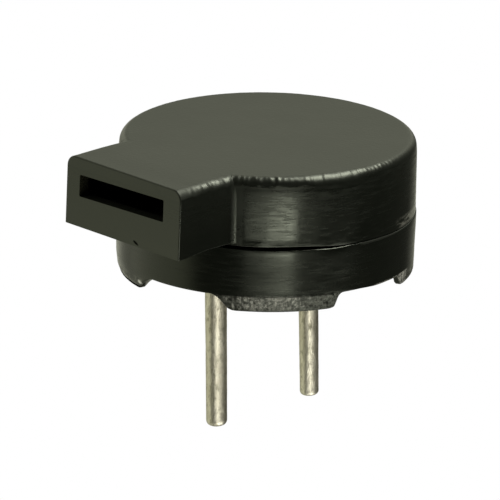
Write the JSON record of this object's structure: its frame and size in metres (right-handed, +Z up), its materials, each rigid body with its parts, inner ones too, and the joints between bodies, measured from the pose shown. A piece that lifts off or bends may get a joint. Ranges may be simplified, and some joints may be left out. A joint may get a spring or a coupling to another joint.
{
  "type": "magnetic buzzer",
  "caption": "Round magnetic buzzer with a flat sound port on one side, a split black plastic case on arc-shaped feet and straight tinned terminals for soldering into a board.",
  "frame": {"origin": "on the body's axis in the plane of the feet, midway between the terminals, where the board's surface lies", "axes": "+Z up along the body's axis to the closed top face, the sound port looks along -Y, the terminals lie in the YZ plane and point along -Z"},
  "size_m": [0.012, 0.0139, 0.0118],
  "materials": {
    "case_plastic": "fine matte moulded black plastic, slightly scuffed",
    "base_plastic": "moulded black plastic, satin",
    "terminal_tin": "tin-plated wire, slightly uneven",
    "diaphragm_steel": "thin rolled sheet",
    "armature_steel": "stamped disc",
    "core_iron": "plated soft iron",
    "ring_plastic": "moulded natural plastic",
    "magnet_ferrite": "sintered dark ferrite",
    "coil_copper": "enamelled copper winding",
    "solder": "bright solder"
  },
  "bodies": {
    "root": {"upper_case": "case_plastic", "base": "base_plastic", "diaphragm": "diaphragm_steel", "armature_disc": "armature_steel", "support_ring": "ring_plastic", "ring_magnet": "magnet_ferrite", "coil": "coil_copper", "pole_core": "core_iron", "yoke_plate": "core_iron", "front_terminal": "terminal_tin", "rear_terminal": "terminal_tin", "solder_joints": "solder"}
  },
  "joints": []
}
